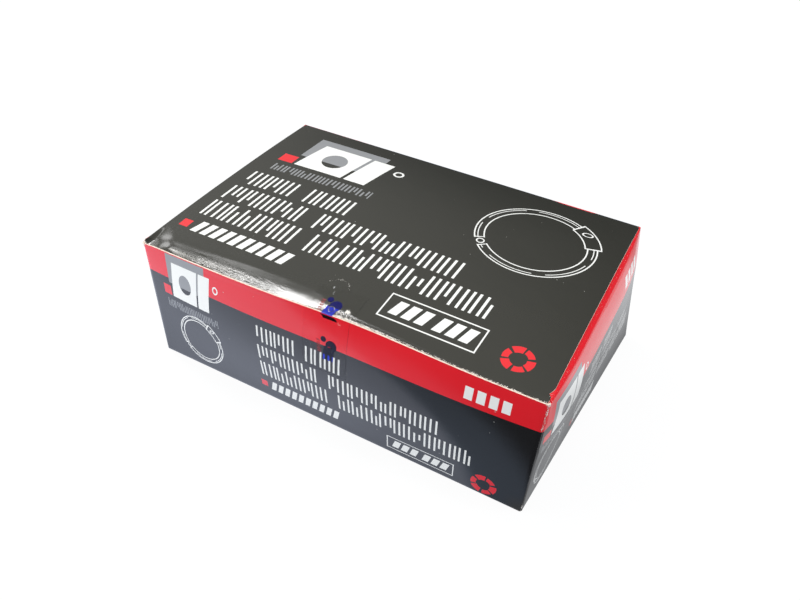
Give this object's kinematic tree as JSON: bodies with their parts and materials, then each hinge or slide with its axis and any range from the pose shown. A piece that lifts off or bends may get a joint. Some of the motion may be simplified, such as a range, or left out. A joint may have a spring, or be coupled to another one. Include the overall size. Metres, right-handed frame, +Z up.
{
  "type": "folding carton",
  "caption": "Closed card carton with a tuck-in lid, packed full, swollen a little and racked, sealed at the front by a strip of clear tape.",
  "frame": {"origin": "middle of the carton's footprint, on the surface it rests on", "axes": "+X along the front towards the racked right end, +Y from the front wall to the lid's hinge, +Z up"},
  "size_m": [0.1668, 0.1114, 0.0576],
  "materials": {
    "printed_card": "satin",
    "clear_tape": "gloss"
  },
  "bodies": {
    "root": {"carton": "printed_card", "sealing_tape": "clear_tape"}
  },
  "joints": []
}
